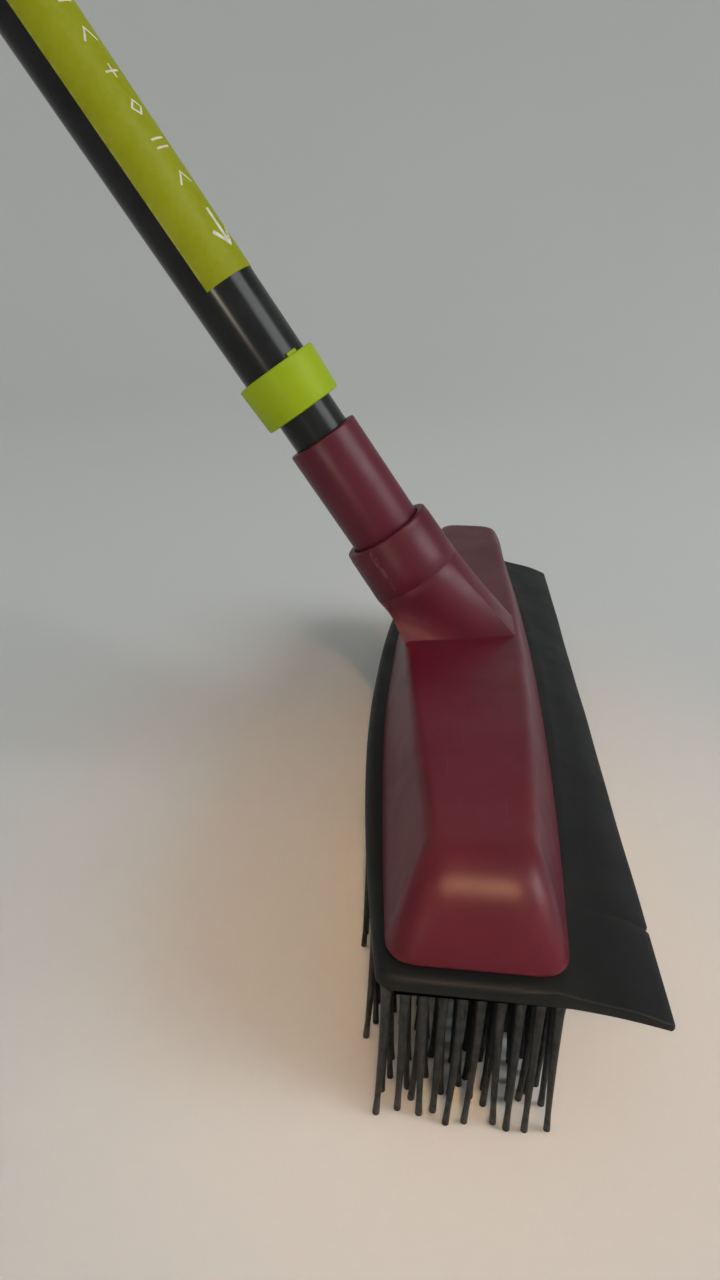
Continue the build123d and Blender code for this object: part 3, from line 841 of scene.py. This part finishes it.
def bristle_tree():
    """Geometry nodes: a tapered bristle with a knobbed tip at every point, each bent its own way."""
    tree = bpy.data.node_groups.new("bristle_field", "GeometryNodeTree")
    sockets = [
        ("Roots", "NodeSocketGeometry", None),
        ("Length", "NodeSocketFloat", 0.0388),
        ("Root Radius", "NodeSocketFloat", BRISTLE_ROOT_R),
        ("Tip Radius", "NodeSocketFloat", BRISTLE_TIP_R),
        ("Knob", "NodeSocketFloat", 0.00022),
        ("Bend", "NodeSocketFloat", 0.0016),
        ("Sides", "NodeSocketInt", 8),
        ("Rings", "NodeSocketInt", 9),
        ("Seed", "NodeSocketInt", 7),
        ("Finish", "NodeSocketMaterial", None),
    ]
    for label, kind, value in sockets:
        made = tree.interface.new_socket(label, in_out="INPUT", socket_type=kind)
        if value is not None:
            made.default_value = value
    tree.interface.new_socket("Bristles", in_out="OUTPUT", socket_type="NodeSocketGeometry")
    web = Web(tree)
    given = web.add("NodeGroupInput").outputs
    sink = web.add("NodeGroupOutput")

    down = web.add("ShaderNodeCombineXYZ", {"Z": web.maths("MULTIPLY", given["Length"], -1.0)})
    spine = web.add("GeometryNodeCurvePrimitiveLine", {"End": down.outputs[0]})
    cut = web.add("GeometryNodeResampleCurve", {"Curve": spine.outputs[0], "Count": given["Rings"]})
    share = web.add("GeometryNodeSplineParameter").outputs["Factor"]
    taper = web.add(
        "ShaderNodeMapRange", {
            "Value": share, "To Min": given["Root Radius"], "To Max": given["Tip Radius"]
        }
    ).outputs[0]
    near_tip = web.ramp(share, 0.90, 0.985)
    near_root = web.ramp(share, 0.10, 0.0)
    radius = web.maths("ADD", taper, web.maths("MULTIPLY", near_tip, given["Knob"]))
    radius = web.maths("ADD", radius, web.maths("MULTIPLY", near_root, given["Knob"]))
    kept = web.add(
        "GeometryNodeStoreNamedAttribute",
        {"Geometry": cut.outputs[0], "Name": "share", "Value": share},
        data_type="FLOAT",
        domain="POINT",
    )
    ring = web.add(
        "GeometryNodeCurvePrimitiveCircle", {"Resolution": given["Sides"], "Radius": 1.0}
    )
    tube = web.add(
        "GeometryNodeCurveToMesh",
        {
            "Curve": kept.outputs[0],
            "Profile Curve": ring.outputs["Curve"],
            "Fill Caps": True,
            "Scale": radius,
        },
    )

    spin = web.add("FunctionNodeRandomValue", {"Seed": given["Seed"]}, data_type="FLOAT_VECTOR")
    spin.inputs[0].default_value = (0, 0, 0)
    spin.inputs[1].default_value = (0, 0, 6.28)
    placed = web.add(
        "GeometryNodeInstanceOnPoints",
        {"Points": given["Roots"], "Instance": tube.outputs[0], "Rotation": spin.outputs[0]},
    )
    lean = web.add(
        "FunctionNodeRandomValue",
        {"Seed": web.maths("ADD", given["Seed"], 11.0)},
        data_type="FLOAT_VECTOR",
    )
    lean.inputs[0].default_value = (-1, -1, 0)
    lean.inputs[1].default_value = (1, 1, 0.35)
    leaning = web.add(
        "GeometryNodeStoreNamedAttribute",
        {"Geometry": placed.outputs[0], "Name": "lean", "Value": lean.outputs[0]},
        data_type="FLOAT_VECTOR",
        domain="INSTANCE",
    )
    real = web.add("GeometryNodeRealizeInstances", {"Geometry": leaning.outputs[0]})
    read_lean = web.add(
        "GeometryNodeInputNamedAttribute", {"Name": "lean"}, data_type="FLOAT_VECTOR"
    )
    read_share = web.add("GeometryNodeInputNamedAttribute", {"Name": "share"}, data_type="FLOAT")
    curve_share = web.maths("POWER", read_share.outputs[0], 1.8)
    amount = web.maths("MULTIPLY", curve_share, given["Bend"])
    shift = web.add("ShaderNodeVectorMath", {0: read_lean.outputs[0]}, operation="SCALE")
    tree.links.new(amount, shift.inputs["Scale"])
    bent = web.add(
        "GeometryNodeSetPosition", {0: real.outputs[0], "Offset": shift.outputs[0]}
    )
    smooth = web.add("GeometryNodeSetShadeSmooth", {0: bent.outputs[0]})
    coated = web.add(
        "GeometryNodeSetMaterial", {"Geometry": smooth.outputs[0], "Material": given["Finish"]}
    )
    tree.links.new(coated.outputs[0], sink.inputs[0])
    return tree


def set_inputs(modifier, **values):
    """Sets a geometry nodes modifier's inputs by the names of its sockets, underscores for spaces."""
    for item in modifier.node_group.interface.items_tree:
        key = item.name.replace(" ", "_")
        if item.in_out == "INPUT" and key in values:
            modifier[item.identifier] = values[key]


def make_bristles():
    """The field of bristles under the pad."""
    roots = bpy.data.meshes.new("bristle_roots")
    roots.from_pydata(bristle_roots(), [], [])
    field = hold(roots)
    grow = field.modifiers.new("grow", "NODES")
    grow.node_group = bristle_tree()
    set_inputs(grow, Finish=MATERIALS["bristle_rubber"])
    mesh = finished_mesh(field, "bristles")
    add_piece("bristle_field", mesh, "bristle_rubber", "head", ["bristles"], 60.0)


# ---------------------------------------------------------------- ferrule, tubes and collar
FERRULE = (0.00956, 0.0120, 0.0313, 0.0758)  # bore, outside, foot, top
LOWER_TUBE = (0.0089, 0.0095, 0.0357, 0.752)
UPPER_TUBE = (0.0104, 0.0110, 0.0885, 0.8085)
COLLAR_FOOT = 0.0857
COLLAR_TOP = 0.1012
COLLAR_RADII = (0.0130, 0.0136)
LUG_TURN = 47.0  # degrees round the handle
LUG_SWEEP = 17.0
LUG_RISE = 0.0011
LUG_THICK = 0.0010


def pipe(name, sizes, cut):
    """A round pipe from its bore, outside, foot and top."""
    bore, outside, foot, top = sizes
    profile = soften([(bore, foot), (outside, foot), (outside, top), (bore, top)], cut)
    return turned(name, profile)


def arc_block(name, low_r, high_r, foot, top, middle, sweep, cut=0.0002, steps=10):
    """A block that follows the handle's round surface."""
    profile = soften([(low_r, foot), (high_r, foot), (high_r, top), (low_r, top)], cut, 3)
    turns = [radians(middle + sweep * (k / steps - 0.5)) for k in range(steps + 1)]
    return skin(name, [[on_handle(s, r, t) for r, s in profile] for t in turns])


def make_handle():
    """Ferrule, tubes and collar."""
    pipes = [
        ("ferrule_sleeve", FERRULE, 0.0007, "burgundy_plastic", "ferrule", "ferrule"),
        ("inner_tube", LOWER_TUBE, 0.00012, "charcoal_tube", "lower_handle", "lower_tube"),
        ("outer_tube", UPPER_TUBE, 0.00012, "charcoal_tube", "upper_handle", "upper_tube"),
    ]
    for name, sizes, cut, finish, body, node in pipes:
        add_piece(name, pipe(name, sizes, cut), finish, body, [node])
    bore, outside, foot, _ = UPPER_TUBE
    neck = outside + 0.00004
    profile = [
        (bore, COLLAR_FOOT),
        (COLLAR_RADII[0], COLLAR_FOOT),
        (COLLAR_RADII[1], COLLAR_TOP),
        (neck, COLLAR_TOP),
        (neck, foot),
        (bore, foot),
    ]
    collar = turned("collar", soften(profile, 0.0007))
    add_piece(
        "collar_ring", collar, "lime_plastic", "upper_handle", ["tube_collar"]
    )
    lug = arc_block(
        "collar_lug",
        outside + 0.00006,
        outside + LUG_THICK,
        COLLAR_TOP - 0.001,
        COLLAR_TOP + LUG_RISE,
        LUG_TURN,
        LUG_SWEEP,
    )
    add_piece("collar_lug", lug, "lime_plastic", "upper_handle")


# ---------------------------------------------------------------- label with its arrow and marks
LABEL_FOOT = 0.129
LABEL_TOP = 0.389
LABEL_FROM = -9.0  # degrees round the handle
LABEL_SWEEP = 148.0
LABEL_R = (0.01104, 0.01119)
INK_LIFT = 0.00003
INK_TURN = 66.0  # degrees round the handle, the line that the marks stand on
INK_WIDE = 0.00062
ARROW_POINT = 0.137
ARROW_LENGTH = 0.0105
MARK_FROM = 0.158
MARK_PITCH = 0.0106
MARK_COUNT = 21
#  each mark is a few strokes, in millimetres across and along the handle
MARKS = (
    [[(-2.4, -1.6), (0.0, 1.7), (2.4, -1.6)]],
    [[(-2.3, -1.3), (2.3, -1.3)], [(-2.3, 1.3), (2.3, 1.3)]],
    [[(-2.0, 0.0), (0.0, 2.1), (2.0, 0.0), (0.0, -2.1), (-2.0, 0.0)]],
    [[(-2.3, 0.0), (2.3, 0.0)], [(0.0, -1.7), (0.0, 1.7)]],
)


def on_label(across, along, lift=INK_LIFT):
    """A point on the label from millimetres across and along, from the marks' line."""
    radius = LABEL_R[1] + lift
    return on_handle(along, radius, radians(INK_TURN) + across / radius)


def stroke(line, along, wide):
    """A printed stroke on the label: thin closed bars along a line of (across, along) points in metres."""
    points, faces = [], []
    for start, end in zip(line, line[1:], strict=False):
        a, b = Vector(start), Vector(end)
        run = (b - a).normalized()
        off = Vector((-run.y, run.x)) * wide / 2
        a, b = a - run * wide / 2, b + run * wide / 2
        cuts, first = 4, len(points)
        for k in range(cuts + 1):
            for side, lift in ((-1, -INK_LIFT), (1, -INK_LIFT), (1, INK_LIFT), (-1, INK_LIFT)):
                spot = a.lerp(b, k / cuts) + off * side
                points.append(on_label(spot.x, along + spot.y, lift))
        for k in range(cuts):
            low, high = first + 4 * k, first + 4 * k + 4
            faces += [(low + j, low + (j + 1) % 4, high + (j + 1) % 4, high + j) for j in range(4)]
        faces.append((first, first + 3, first + 2, first + 1))
        last = first + 4 * cuts
        faces.append((last, last + 1, last + 2, last + 3))
    return points, faces


def ink_mesh(name, strokes):
    """One thin mesh of many strokes."""
    points, faces = [], []
    for line, along, wide in strokes:
        more_points, more_faces = stroke(line, along, wide)
        faces += [tuple(index + len(points) for index in face) for face in more_faces]
        points += more_points
    mesh = bpy.data.meshes.new(name)
    mesh.from_pydata([tuple(p) for p in points], [], faces)
    return mesh


def make_label():
    """The film round part of the tube, the arrow towards the head and the row of marks."""
    steps = 48
    profile = soften(
        [
            (LABEL_R[0], LABEL_FOOT),
            (LABEL_R[1], LABEL_FOOT),
            (LABEL_R[1], LABEL_TOP),
            (LABEL_R[0], LABEL_TOP),
        ],
        0.00004,
        2,
    )
    turns = [radians(LABEL_FROM + LABEL_SWEEP * k / steps) for k in range(steps + 1)]
    film = skin("label_film", [[on_handle(s, r, t) for r, s in profile] for t in turns])
    add_piece("label_film", film, "lime_label", "upper_handle", ["grip_label"])
    strokes = []
    for index in range(MARK_COUNT):
        for line in MARKS[index % len(MARKS)]:
            scaled = [(x / 1000, y / 1000) for x, y in line]
            strokes.append((scaled, MARK_FROM + index * MARK_PITCH, INK_WIDE))
    add_piece(
        "label_marks", ink_mesh("label_marks", strokes), "pale_ink", "upper_handle"
    )
    lines = [([(0.0012, ARROW_LENGTH), (0.0012, 0.0012)], ARROW_POINT, 0.0014)]
    for across in (-0.0022, 0.0046):
        lines.append(([(across, 0.0040), (0.0012, 0.0)], ARROW_POINT, 0.0013))
    add_piece(
        "label_arrow", ink_mesh("label_arrow", lines), "pale_ink", "upper_handle"
    )


# ---------------------------------------------------------------- assembly
make_camera()
make_floor()
make_lights()
bpy.context.scene.view_settings.view_transform = "Standard"
dress_cad_nodes()
make_head_shell()
make_pad()
make_bristles()
make_handle()
make_label()
